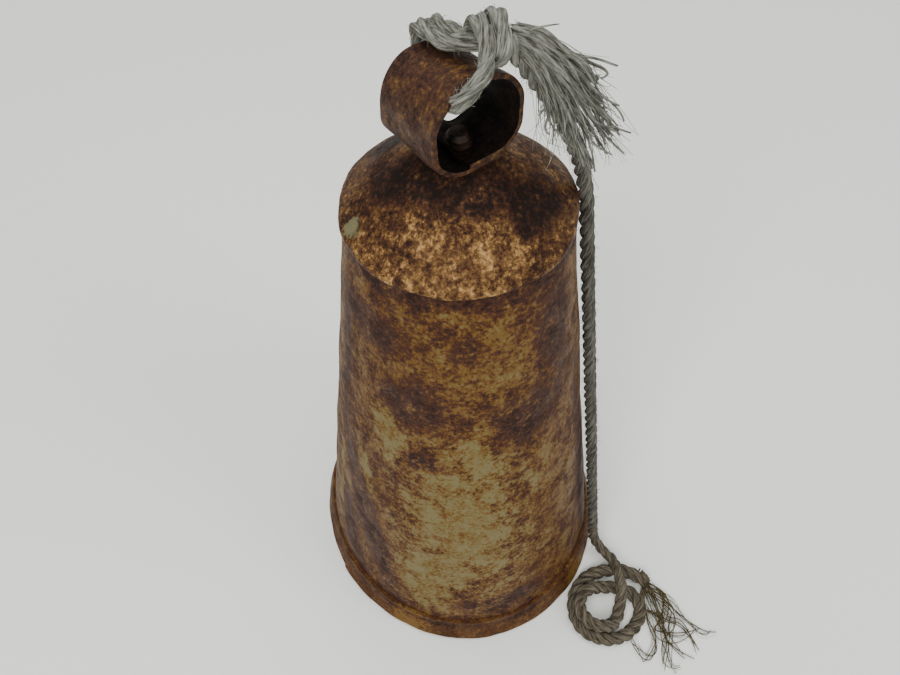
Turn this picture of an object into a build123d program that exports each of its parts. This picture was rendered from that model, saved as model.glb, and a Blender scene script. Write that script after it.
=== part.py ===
from build123d import *
import math
import os

# Yard dinner bell: a tall brass-coated sheet-iron bell with a strap ring, a hung clapper and a rope.
# Millimetres. +Z is up and the bell stands mouth down. The origin is the centre of the mouth plane.
# The strap ring's hole runs along Y.

# ---------------------------------------------------------------- driving dimensions
SHEET = 1.5                 # sheet iron of the body and the crown cap
MOUTH_RADIUS = 97.1         # widest point of the mouth band, mean of its long and short radius
MOUTH_OVAL = 0.038          # how far the hand-rolled mouth is out of round, as a part of its radius
OVAL_TURN = -19.0           # the long radius, turned from +Y about Z

BODY_LIP_RADIUS = 94.5      # body sheet at the mouth plane
BODY_FOOT_RADIUS = 90.3     # body sheet where its flare starts
BODY_FOOT_Z = 20.0
BODY_TOP_RADIUS = 46.5
BODY_TOP_Z = 300.5
BAND_OUTSIDE = [            # height and mean radius of the flared band round the mouth
    (0.0, MOUTH_RADIUS - 0.9),
    (2.5, MOUTH_RADIUS),
    (9.0, MOUTH_RADIUS - 2.4),
    (BODY_FOOT_Z, BODY_FOOT_RADIUS + 1.7),
]
SEAM_WIDTH = 9.0            # folded and flattened lock seam down the back
SEAM_PROUD = 1.2
SEAM_TURN = 54.0            # where the seam runs, from +X about Z
SEAM_LOW_Z = 21.0
SEAM_HIGH_Z = 297.0

CAP_EDGE_RADIUS = 48.7      # rim of the crown cap
CAP_EDGE_Z = 299.0
CAP_TOP_Z = 328.5
CAP_SHOULDER_RADIUS = 48.5
CAP_SHOULDER_Z = 300.8
CAP_FLAT_RADIUS = 10.0      # hammered flat that the strap ring sits on
CAP_DOME_RADIUS = 137.0     # the crown is a cone that bulges a little, an arc of this radius in section
CAP_FIT = 0.15              # gap between the cap's skirt and the body
SKIRT_FLARE = 0.4
LEDGE_STEP = 1.1
LEDGE_WIDTH = 1.0           # the body's top edge bears on a ledge inside the cap

STRAP_THICKNESS = 1.9
STRAP_RADIUS = 19.3         # outside radius of the ring
STRAP_CENTRE_X = -2.3       # the ring was bent a little off the bell's axis
STRAP_SECTIONS = [          # Y, then how far the ring's crown and its foot are bent up there
    (-15.1, 2.2, 2.4),
    (-6.5, 0.9, 0.0),
    (10.2, -1.3, 0.0),
    (18.4, -2.2, -1.2),
]
STRAP_LAP_GAP = 0.1
STRAP_FLAT_LEFT = -5.5      # ends of the ring's flat foot
STRAP_FLAT_RIGHT = 5.5
STRAP_OUTER_END = 9.0       # where the under lap stops
STRAP_INNER_END = -6.0      # where the upper lap stops

SHANK_RADIUS = 3.0
SHANK_HOLE_RADIUS = 3.08
WASHER_THICKNESS = 1.5
TOP_WASHER_RADIUS = 5.6
UNDER_WASHER_RADIUS = 9.0
SWIVEL_GAP = 0.35           # end play of the hanger under its peened head
HEAD_RADIUS = 4.8           # peened head: a short rim, a hammered bevel and a nearly flat top
HEAD_RIM = 0.8
HEAD_BEVEL_RADIUS = 3.4
HEAD_BEVEL = 2.6
HEAD_HEIGHT = 3.2
COLLAR_RADIUS = 5.0
COLLAR_HEIGHT = 3.0
NECK_RADIUS = 3.4
EYE_WIRE_RADIUS = 2.5
EYE_RADIUS = 9.0            # centre line of the hanger's eye

ROD_RADIUS = 3.0
ROD_EYE_RADIUS = 6.5        # centre line of the eye at the top of the rod
LINK_GAP = 0.3              # play between the two eyes
KNOB_Z = 46.0               # middle of the wooden knob
KNOB_RADIUS = 19.0
KNOB_HALF_LENGTH = 27.0
KNOB_END_RADIUS = 12.0
KNOB_WASHER_RADIUS = 8.0
PEEN_RADIUS = 4.6
PEEN_HEIGHT = 2.6

ROPE = 6.4                  # laid rope of a quarter of an inch
TIGHT_ROPE = 5.6            # the same rope where it is pulled hard round the strap

# ---------------------------------------------------------------- derived levels
UNDER_CAP_Z = CAP_TOP_Z - SHEET
STRAP_LOW_MID_Z = CAP_TOP_Z + STRAP_THICKNESS / 2
STRAP_HIGH_MID_Z = STRAP_LOW_MID_Z + STRAP_THICKNESS + STRAP_LAP_GAP
STRAP_SEAT_Z = STRAP_HIGH_MID_Z + STRAP_THICKNESS / 2
STRAP_MID_RADIUS = STRAP_RADIUS - STRAP_THICKNESS / 2
STRAP_CENTRE_Z = CAP_TOP_Z + STRAP_RADIUS
HEAD_Z = STRAP_SEAT_Z + WASHER_THICKNESS + SWIVEL_GAP
COLLAR_TOP_Z = UNDER_CAP_Z - WASHER_THICKNESS - SWIVEL_GAP
EYE_Z = COLLAR_TOP_Z - COLLAR_HEIGHT - EYE_RADIUS
PIVOT_Z = EYE_Z - EYE_RADIUS
ROD_EYE_Z = PIVOT_Z - (ROD_EYE_RADIUS - 2 * EYE_WIRE_RADIUS - LINK_GAP)
KNOB_LOW_Z = KNOB_Z - KNOB_HALF_LENGTH
ROD_END_Z = KNOB_LOW_Z - WASHER_THICKNESS


def section(z, radius, oval=MOUTH_OVAL):
    """One closed oval across the bell at a height."""
    with BuildSketch(Plane.XY.offset(z)) as outline:
        Ellipse(radius * (1 - oval), radius * (1 + oval), rotation=OVAL_TURN)
    return outline.sketch


def body_sections(inset):
    """The body's sections, moved in from its outside by inset: oval at the foot and round at the top."""
    return [
        section(0, BODY_LIP_RADIUS - inset),
        section(BODY_FOOT_Z, BODY_FOOT_RADIUS - inset),
        section(BODY_TOP_Z, BODY_TOP_RADIUS - inset, oval=0),
    ]


# ---------------------------------------------------------------- sheet-iron shell
with BuildPart() as seam_strip:
    loft(body_sections(-SEAM_PROUD), ruled=True)
    with BuildSketch(Plane.XY.offset(SEAM_LOW_Z).rotated((0, 0, SEAM_TURN))):
        with Locations((BODY_LIP_RADIUS / 2 + SEAM_WIDTH, 0)):
            Rectangle(BODY_LIP_RADIUS, SEAM_WIDTH)
    extrude(amount=SEAM_HIGH_Z - SEAM_LOW_Z, mode=Mode.INTERSECT)

with BuildPart() as bell_body:
    loft(body_sections(0), ruled=True)
    add(seam_strip.part)
    loft(body_sections(SHEET), ruled=True, mode=Mode.SUBTRACT)

with BuildPart() as mouth_band:
    loft([section(z, radius) for z, radius in BAND_OUTSIDE], ruled=True)
    loft(body_sections(0)[:2], ruled=True, mode=Mode.SUBTRACT)

with BuildPart() as crown_cap:
    with BuildSketch(Plane.XZ):
        with BuildLine():
            ledge = BODY_TOP_RADIUS - LEDGE_WIDTH
            skirt = BODY_TOP_RADIUS + CAP_FIT
            flat_edge = (CAP_FLAT_RADIUS, CAP_TOP_Z)
            shoulder = (CAP_SHOULDER_RADIUS, CAP_SHOULDER_Z)
            Polyline((0, UNDER_CAP_Z), (0, CAP_TOP_Z), flat_edge)
            RadiusArc(flat_edge, shoulder, CAP_DOME_RADIUS)
            Polyline(
                shoulder,
                (CAP_EDGE_RADIUS, CAP_EDGE_Z),
                (skirt + SKIRT_FLARE, CAP_EDGE_Z),
                (skirt, BODY_TOP_Z),
                (ledge, BODY_TOP_Z),
                (ledge, BODY_TOP_Z + LEDGE_STEP),
            )
            RadiusArc((ledge, BODY_TOP_Z + LEDGE_STEP), (CAP_FLAT_RADIUS, UNDER_CAP_Z), -CAP_DOME_RADIUS)
            Line((CAP_FLAT_RADIUS, UNDER_CAP_Z), (0, UNDER_CAP_Z))
        make_face()
    revolve(axis=Axis.Z)
    with Locations((0, 0, CAP_TOP_Z)):
        Hole(SHANK_HOLE_RADIUS, depth=4 * SHEET)

# ---------------------------------------------------------------- strap ring
LEFT = STRAP_CENTRE_X - STRAP_MID_RADIUS
RIGHT = STRAP_CENTRE_X + STRAP_MID_RADIUS
LEFT_CORNER = STRAP_FLAT_LEFT - LEFT
RIGHT_CORNER = RIGHT - STRAP_FLAT_RIGHT


def strap_side(out, crown_rise, foot_rise):
    """One face of the bent strap, a distance out from its middle, from its under lap to its upper lap."""
    low = STRAP_LOW_MID_Z + foot_rise
    high = STRAP_HIGH_MID_Z + foot_rise
    crown_z = STRAP_CENTRE_Z + crown_rise
    under_lap = Line((STRAP_OUTER_END, low - out), (STRAP_FLAT_LEFT, low - out))
    left_corner = TangentArc(under_lap @ 1, (LEFT - out, low + LEFT_CORNER), tangent=(-1, 0))
    left_side = Line(left_corner @ 1, (LEFT - out, crown_z))
    crown = TangentArc(left_side @ 1, (RIGHT + out, crown_z), tangent=(0, 1))
    right_side = Line(crown @ 1, (RIGHT + out, high + RIGHT_CORNER))
    right_corner = TangentArc(right_side @ 1, (STRAP_FLAT_RIGHT, high - out), tangent=(0, -1))
    upper_lap = Line(right_corner @ 1, (STRAP_INNER_END, high - out))
    return under_lap @ 0, upper_lap @ 1


def strap_profile(y, crown_rise, foot_rise):
    """The strap's closed section at y."""
    with BuildSketch(Plane.XZ.offset(-y)) as profile:
        with BuildLine():
            outer_start, outer_end = strap_side(STRAP_THICKNESS / 2, crown_rise, foot_rise)
            inner_start, inner_end = strap_side(-STRAP_THICKNESS / 2, crown_rise, foot_rise)
            Line(outer_start, inner_start)
            Line(outer_end, inner_end)
        make_face()
    return profile.sketch


with BuildPart() as handle_strap:
    loft([strap_profile(*section_at) for section_at in STRAP_SECTIONS], ruled=True)
    with Locations((0, 0, STRAP_SEAT_Z)):
        Hole(SHANK_HOLE_RADIUS, depth=3 * STRAP_THICKNESS)


# ---------------------------------------------------------------- hanger and clapper
def washer(z, radius, hole_radius):
    """A flat ring whose lower face is at z."""
    with BuildPart() as ring:
        with BuildSketch(Plane.XY.offset(z)):
            Circle(radius)
            Circle(hole_radius, mode=Mode.SUBTRACT)
        extrude(amount=WASHER_THICKNESS)
    return ring


hanger_washer_top = washer(STRAP_SEAT_Z, TOP_WASHER_RADIUS, SHANK_HOLE_RADIUS)
hanger_washer_under = washer(UNDER_CAP_Z - WASHER_THICKNESS, UNDER_WASHER_RADIUS, SHANK_HOLE_RADIUS)

with BuildPart() as hanger_eye:
    with BuildSketch(Plane.XZ):
        with BuildLine():
            neck_z = EYE_Z + EYE_RADIUS - EYE_WIRE_RADIUS / 3
            Polyline(
                (0, neck_z),
                (NECK_RADIUS, neck_z),
                (COLLAR_RADIUS, COLLAR_TOP_Z - COLLAR_HEIGHT / 2),
                (COLLAR_RADIUS, COLLAR_TOP_Z),
                (SHANK_RADIUS, COLLAR_TOP_Z),
                (SHANK_RADIUS, HEAD_Z),
                (HEAD_RADIUS, HEAD_Z),
                (HEAD_RADIUS, HEAD_Z + HEAD_RIM),
                (HEAD_BEVEL_RADIUS, HEAD_Z + HEAD_BEVEL),
                (0, HEAD_Z + HEAD_HEIGHT),
                close=True,
            )
        make_face()
    revolve(axis=Axis.Z)
    with Locations((0, 0, EYE_Z)):
        Torus(EYE_RADIUS, EYE_WIRE_RADIUS, rotation=(90, 0, 0))

with BuildPart() as clapper_rod:
    with Locations((0, 0, ROD_EYE_Z)):
        Torus(ROD_EYE_RADIUS, EYE_WIRE_RADIUS, rotation=(0, 90, 0))
    with BuildSketch(Plane.XY.offset(ROD_END_Z)):
        Circle(ROD_RADIUS)
    extrude(amount=ROD_EYE_Z - ROD_EYE_RADIUS - ROD_END_Z)
    with BuildSketch(Plane.XY.offset(ROD_END_Z)):
        Circle(PEEN_RADIUS)
    extrude(amount=-PEEN_HEIGHT, taper=25)

with BuildPart() as clapper_knob:
    with BuildSketch(Plane.XZ):
        with BuildLine():
            knob_top = KNOB_Z + KNOB_HALF_LENGTH
            Polyline((KNOB_END_RADIUS, KNOB_LOW_Z), (0, KNOB_LOW_Z), (0, knob_top), (KNOB_END_RADIUS, knob_top))
            ThreePointArc((KNOB_END_RADIUS, knob_top), (KNOB_RADIUS, KNOB_Z), (KNOB_END_RADIUS, KNOB_LOW_Z))
        make_face()
    revolve(axis=Axis.Z)
    with Locations((0, 0, knob_top)):
        Hole(ROD_RADIUS, depth=2 * KNOB_HALF_LENGTH)

clapper_washer = washer(KNOB_LOW_Z - WASHER_THICKNESS, KNOB_WASHER_RADIUS, ROD_RADIUS)


# ---------------------------------------------------------------- rope
def bend_radii(route):
    """The largest arc that the two runs at each corner of a route allow."""
    radii = []
    for before, corner, after in zip(route, route[1:], route[2:]):
        arriving = Vector(corner) - Vector(before)
        leaving = Vector(after) - Vector(corner)
        half_turn = math.radians(arriving.get_angle(leaving) / 2)
        radii.append(0.45 * min(arriving.length, leaving.length) / math.tan(half_turn))
    return radii


def rope_tube(route, radii, diameter=ROPE):
    """A plain round tube along a route of straight runs joined by tangent arcs."""
    with BuildPart() as tube:
        with BuildLine() as path:
            FilletPolyline(*route, radius=radii)
        centre_line = path.wire()
        with BuildSketch(Plane(origin=centre_line @ 0, z_dir=centre_line % 0)):
            Circle(diameter / 2)
        sweep(path=centre_line)
    ratio = tube.part.volume / (math.pi * diameter**2 / 4 * centre_line.length)
    print("tube length", round(centre_line.length, 1), "volume over section times length", round(ratio, 4))
    print("bend radii", [round(radius, 1) for radius in radii])
    return tube


# Two turns of the rope go round the strap ring: through its hole, round its back edge and over its top.
LEFT_TURN = [
    (-0.5, -13, 377.5),
    (-4.5, -18.4, 372),
    (-8.8, -18.0, 362.2),
    (-4.2, 0, 360.8),
    (-0.5, 21.4, 359.3),
    (-0.5, 21.4, 367.9),
    (-3.6, 2, 370.1),
    (-1.0, -7, 375),
]
RIGHT_TURN = [
    (5.4, -13, 378),
    (5.4, -18.4, 373),
    (3.6, -18.0, 363.2),
    (4.6, 0, 360.4),
    (5.5, 21.4, 357.2),
    (5.5, 21.4, 366.6),
    (2.8, 2, 369.7),
    (5.4, -7, 376.5),
]
TURN_RADIUS = 3.4           # the rope is pulled tight round the strap's edges

rope_turn_left = rope_tube(LEFT_TURN, [TURN_RADIUS] * (len(LEFT_TURN) - 2), TIGHT_ROPE)
rope_turn_right = rope_tube(RIGHT_TURN, [TURN_RADIUS] * (len(RIGHT_TURN) - 2), TIGHT_ROPE)

KNOT_CENTRE = (3.0, -10.5, 379.2)
KNOT_SIZE = (14.0, 14.0, 15.0)
KNOT_ROUNDING = 5.5

with BuildPart() as rope_knot:
    with Locations(KNOT_CENTRE):
        Box(*KNOT_SIZE)
    fillet(rope_knot.edges(), radius=KNOT_ROUNDING)

# The fall leaves the knot, goes over the cap's edge, hangs straight to the mouth and runs to the coil.
FALL = [
    (9.0, -12.6, 377.5),
    (25.0, -17.5, 353.0),
    (38.0, -20.5, 328.0),
    (46.7, -22.8, 303.0),
    (52.2, -83.6, 14.5),
    (54.0, -91.0, 6.0),
    (55.0, -100.0, 7.5),
    (53.0, -108.5, 9.6),
]

rope_fall = rope_tube(FALL, bend_radii(FALL))

COIL_CENTRE = (33.3, -121.6)
COIL_RADIUS = 26.5
COIL_HOLE_CENTRE = (29.0, -118.8)
COIL_HOLE = 8.5
COIL_HEIGHT = 2 * ROPE

with BuildPart() as rope_coil:
    with BuildSketch():
        with Locations(COIL_CENTRE):
            Circle(COIL_RADIUS)
        with Locations(COIL_HOLE_CENTRE):
            Circle(COIL_HOLE, mode=Mode.SUBTRACT)
    extrude(amount=COIL_HEIGHT)
    fillet(rope_coil.edges().group_by(Axis.Z)[-1], radius=ROPE / 2)

END_CENTRE = (64.0, -122.0)
END_SIZE = (8.0, 13.0)

with BuildPart() as rope_end:
    with BuildSketch():
        with Locations(END_CENTRE):
            Ellipse(END_SIZE[0] / 2, END_SIZE[1] / 2)
    extrude(amount=ROPE)
    fillet(rope_end.edges().group_by(Axis.Z)[-1], radius=ROPE / 4)

# The rope's two loose ends have come unlaid: a brush of strands at the knot, fine yarns on the ground.
TAIL_START = Vector(12.5, -13, 376)
TAIL_END = Vector(35, -30, 337)
TAIL_SECTIONS = [(0.0, 4.0, 4.0), (0.5, 10.0, 6.0), (1.0, 14.0, 4.0)]

with BuildPart() as rope_tail:
    tail_line = TAIL_END - TAIL_START
    for along, half_width, half_depth in TAIL_SECTIONS:
        with BuildSketch(Plane(origin=TAIL_START + tail_line * along, x_dir=(1, 0.6, 0.43), z_dir=tail_line)):
            Ellipse(half_width, half_depth)
    loft()

YARNS_CENTRE = (55.0, -154.0)
YARNS_SIZE = (42.0, 56.0)
YARNS_HEIGHT = 3.0

with BuildPart() as rope_yarns:
    with BuildSketch():
        with Locations(YARNS_CENTRE):
            Ellipse(YARNS_SIZE[0] / 2, YARNS_SIZE[1] / 2)
        with Locations(COIL_CENTRE):
            Circle(COIL_RADIUS, mode=Mode.SUBTRACT)
        with Locations(END_CENTRE):
            Ellipse(END_SIZE[0] / 2, END_SIZE[1] / 2, mode=Mode.SUBTRACT)
    extrude(amount=YARNS_HEIGHT)

# ---------------------------------------------------------------- files
pieces = {
    "bell_body": bell_body,
    "mouth_band": mouth_band,
    "crown_cap": crown_cap,
    "handle_strap": handle_strap,
    "hanger_washer_top": hanger_washer_top,
    "hanger_washer_under": hanger_washer_under,
    "hanger_eye": hanger_eye,
    "clapper_rod": clapper_rod,
    "clapper_knob": clapper_knob,
    "clapper_washer": clapper_washer,
    "rope_turn_left": rope_turn_left,
    "rope_turn_right": rope_turn_right,
    "rope_knot": rope_knot,
    "rope_tail": rope_tail,
    "rope_fall": rope_fall,
    "rope_coil": rope_coil,
    "rope_end": rope_end,
    "rope_yarns": rope_yarns,
}
os.makedirs("parts", exist_ok=True)
for name, piece in pieces.items():
    piece.part.label = name
    export_step(piece.part, f"parts/{name}.step")
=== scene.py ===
"""The looks of the yard dinner bell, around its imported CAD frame. Metres, +Z up, origin at the mouth."""
import math
import random

import bmesh
import bpy
from mathutils import Matrix, Vector, noise
from mathutils.bvhtree import BVHTree


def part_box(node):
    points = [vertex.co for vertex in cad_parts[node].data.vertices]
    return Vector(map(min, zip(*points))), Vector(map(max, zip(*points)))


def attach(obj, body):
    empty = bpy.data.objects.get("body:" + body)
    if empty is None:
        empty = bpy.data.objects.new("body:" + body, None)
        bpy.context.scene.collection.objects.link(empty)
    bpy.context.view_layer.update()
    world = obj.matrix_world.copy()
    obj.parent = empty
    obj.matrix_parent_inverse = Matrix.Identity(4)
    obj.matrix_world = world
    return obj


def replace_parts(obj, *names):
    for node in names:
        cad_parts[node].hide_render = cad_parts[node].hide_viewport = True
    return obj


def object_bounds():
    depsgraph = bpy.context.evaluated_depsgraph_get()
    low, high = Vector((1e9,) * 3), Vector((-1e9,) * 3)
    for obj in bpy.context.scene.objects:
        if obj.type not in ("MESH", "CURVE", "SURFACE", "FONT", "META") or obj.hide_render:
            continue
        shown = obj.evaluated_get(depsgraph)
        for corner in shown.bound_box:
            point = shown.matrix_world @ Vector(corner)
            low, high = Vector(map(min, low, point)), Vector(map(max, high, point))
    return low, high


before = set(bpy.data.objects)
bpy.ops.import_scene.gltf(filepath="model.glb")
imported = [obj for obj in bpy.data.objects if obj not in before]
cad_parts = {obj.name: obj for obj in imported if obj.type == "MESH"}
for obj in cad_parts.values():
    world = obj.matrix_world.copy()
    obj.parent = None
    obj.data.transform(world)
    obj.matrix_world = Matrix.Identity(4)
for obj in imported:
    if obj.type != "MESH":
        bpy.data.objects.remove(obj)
cad_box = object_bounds()
MM = 0.001
TURN = 2 * math.pi


def mm(x, y, z):
    """A place or size given in millimetres."""
    return Vector((x, y, z)) * MM


def ease(share):
    """0 before 0, 1 after 1, and smooth between them."""
    share = min(max(share, 0.0), 1.0)
    return share * share * (3 - 2 * share)


def mix(a, b, share):
    return a + (b - a) * share


# ---------------------------------------------------------------- camera and light
CAMERA_PLACE = mm(-128.1, -175.0, 522.2)
CAMERA_HEADING = math.radians(-35)
CAMERA_PITCH = math.radians(55.74)      # below the horizon
CAMERA_ROLL = math.radians(-1.08)
CAMERA_LENS = 30.4
CAMERA_SENSOR = 36
FLOOR_HALF = 6.0


def make_camera():
    data = bpy.data.cameras.new("camera")
    data.lens = CAMERA_LENS
    data.sensor_width = CAMERA_SENSOR
    data.clip_start = 0.01
    camera = bpy.data.objects.new("camera", data)
    bpy.context.scene.collection.objects.link(camera)
    turn = Matrix.Rotation(CAMERA_HEADING, 4, "Z") @ Matrix.Rotation(math.pi / 2 - CAMERA_PITCH, 4, "X")
    turn = turn @ Matrix.Rotation(CAMERA_ROLL, 4, "Z")
    camera.matrix_world = Matrix.Translation(CAMERA_PLACE) @ turn
    bpy.context.scene.camera = camera


def area_light(name, place, size, power, colour=(1, 1, 1)):
    """A soft square light that faces the middle of the bell."""
    data = bpy.data.lights.new(name, "AREA")
    data.size = size
    data.energy = power
    data.color = colour
    light = bpy.data.objects.new(name, data)
    bpy.context.scene.collection.objects.link(light)
    light.location = place
    target = (cad_box[0] + cad_box[1]) / 2
    light.rotation_euler = (target - light.location).to_track_quat("-Z", "Y").to_euler()


def make_light():
    area_light("window", Vector((-1.5, -0.9, 1.9)), 1.3, 37, (1.0, 0.99, 0.97))
    area_light("fill", Vector((1.2, -1.9, 1.8)), 1.4, 23, (0.97, 0.99, 1.0))
    area_light("top", Vector((0.1, 0.5, 2.2)), 1.8, 27)
    world = bpy.data.worlds.new("studio")
    world.use_nodes = True
    air = world.node_tree.nodes["Background"]
    air.inputs["Color"].default_value = (0.93, 0.97, 0.95, 1)
    air.inputs["Strength"].default_value = 0.5
    bpy.context.scene.world = world


# ---------------------------------------------------------------- shader helpers
def tone(red, green, blue):
    """A colour given as it looks on a screen, 0 to 255 each."""
    def linear(value):
        value /= 255
        return value / 12.92 if value <= 0.04045 else ((value + 0.055) / 1.055) ** 2.4
    return (linear(red), linear(green), linear(blue), 1)


class Shader:
    """One material's nodes. Methods that make a field or a colour return its output socket."""

    def __init__(self, name, metallic=0.0, specular=0.5):
        self.material = bpy.data.materials.new(name)
        self.material.use_nodes = True
        self.tree = self.material.node_tree
        self.surface = self.tree.nodes["Principled BSDF"]
        self.surface.inputs["Metallic"].default_value = metallic
        self.surface.inputs["Specular IOR Level"].default_value = specular
        self.place = self.node("ShaderNodeTexCoord").outputs["Object"]

    def node(self, kind, **settings):
        made = self.tree.nodes.new(kind)
        for key, value in settings.items():
            setattr(made, key, value)
        return made

    def give(self, socket, value):
        """Links a socket to an output, or sets it to a number or colour."""
        if isinstance(value, bpy.types.NodeSocket):
            self.tree.links.new(value, socket)
        else:
            socket.default_value = value

    def math(self, operation, a, b=0.0):
        made = self.node("ShaderNodeMath", operation=operation)
        self.give(made.inputs[0], a)
        self.give(made.inputs[1], b)
        return made.outputs[0]

    def add(self, a, b):
        return self.math("ADD", a, b)

    def times(self, a, b):
        return self.math("MULTIPLY", a, b)

    def minus(self, a, b):
        return self.math("SUBTRACT", a, b)

    def split(self, vector):
        made = self.node("ShaderNodeSeparateXYZ")
        self.give(made.inputs[0], vector)
        return made.outputs

    def stretched(self, vector, scale):
        made = self.node("ShaderNodeVectorMath", operation="MULTIPLY")
        self.give(made.inputs[0], vector)
        made.inputs[1].default_value = scale
        return made.outputs[0]

    def noise(self, size_mm, detail=4, roughness=0.6, vector=None, distortion=0.0):
        """Fractal noise from 0 to 1 whose blobs are about size_mm across."""
        made = self.node("ShaderNodeTexNoise")
        self.give(made.inputs["Vector"], vector or self.place)
        made.inputs["Scale"].default_value = 1 / (size_mm * MM)
        made.inputs["Detail"].default_value = detail
        made.inputs["Roughness"].default_value = roughness
        made.inputs["Distortion"].default_value = distortion
        return made.outputs["Fac"]

    def swung(self, noise, amount):
        """Noise that swings about 0, by amount from end to end."""
        return self.times(self.minus(noise, 0.5), amount)

    def step(self, value, low, high, to_low=0.0, to_high=1.0):
        """to_low where value is low, to_high where it is high, and smooth between them."""
        made = self.node("ShaderNodeMapRange", interpolation_type="SMOOTHSTEP")
        for key, number in (("From Min", low), ("From Max", high), ("To Min", to_low), ("To Max", to_high)):
            made.inputs[key].default_value = number
        self.give(made.inputs["Value"], value)
        return made.outputs["Result"]

    def blend(self, share, a, b):
        """Colour a where share is 0 and b where it is 1."""
        made = self.node("ShaderNodeMix", data_type="RGBA")
        self.give(made.inputs["Factor"], share)
        self.give(made.inputs[6], a)
        self.give(made.inputs[7], b)
        return made.outputs[2]

    def bump(self, heights):
        """Roughens the surface by several fields, each given with its depth in mm."""
        total = 0.0
        for height, depth in heights:
            total = self.add(self.times(height, depth * MM), total)
        made = self.node("ShaderNodeBump")
        made.inputs["Strength"].default_value = 1.0
        made.inputs["Distance"].default_value = 1.0
        self.give(made.inputs["Height"], total)
        self.give(self.surface.inputs["Normal"], made.outputs[0])

    def done(self, colour, roughness):
        """Closes the material and returns it."""
        self.give(self.surface.inputs["Base Color"], colour)
        self.give(self.surface.inputs["Roughness"], roughness)
        return self.material


# ---------------------------------------------------------------- coated iron
FRONT = math.radians(-126)              # the side of the bell that the camera looks at
BODY_RADIUS = 70.0                      # mm, half way up

DARK = tone(38, 22, 15)
PURPLE = tone(60, 35, 26)
RUST = tone(78, 46, 25)
OCHRE = tone(98, 66, 28)
GOLD = tone(110, 79, 34)
OLIVE = tone(106, 86, 43)
SAGE = tone(113, 102, 67)
COAT_EDGE = (0.05, 0.07)                # how far a coat blends to each side of its start

# Coats of skin, from the soundest to the most rusted: how rusted it is where each starts, and its colour.
BODY_COATS = [(0.0, SAGE), (0.19, OLIVE), (0.31, GOLD), (0.41, OCHRE), (0.51, RUST), (0.64, PURPLE),
              (0.84, DARK)]
BAND_COATS = [(0.0, GOLD), (0.26, tone(92, 59, 27)), (0.46, tone(74, 45, 23)), (0.70, tone(52, 31, 20)),
              (0.9, DARK)]
CAP_COATS = [(0.0, tone(176, 138, 88)), (0.15, tone(144, 107, 64)), (0.29, tone(108, 77, 42)),
             (0.42, tone(84, 57, 32)), (0.54, tone(68, 41, 25)), (0.67, tone(46, 27, 19)),
             (0.84, tone(28, 17, 13))]
STRAP_COATS = [(0.0, tone(112, 84, 42)), (0.26, tone(92, 64, 36)), (0.38, tone(76, 50, 34)),
               (0.54, tone(60, 39, 31)), (0.74, tone(40, 26, 21))]
# The ring's inner face: near-black coats, painted shade inside the loop.
RING_SHADE_COATS = [(0.0, tone(44, 28, 18)), (0.34, tone(24, 15, 11)), (0.6, tone(12, 8, 7))]
BARE_COATS = [(0.0, tone(98, 60, 34)), (0.3, tone(72, 44, 28)), (0.48, tone(48, 31, 23)),
              (0.7, tone(28, 18, 14))]


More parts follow.
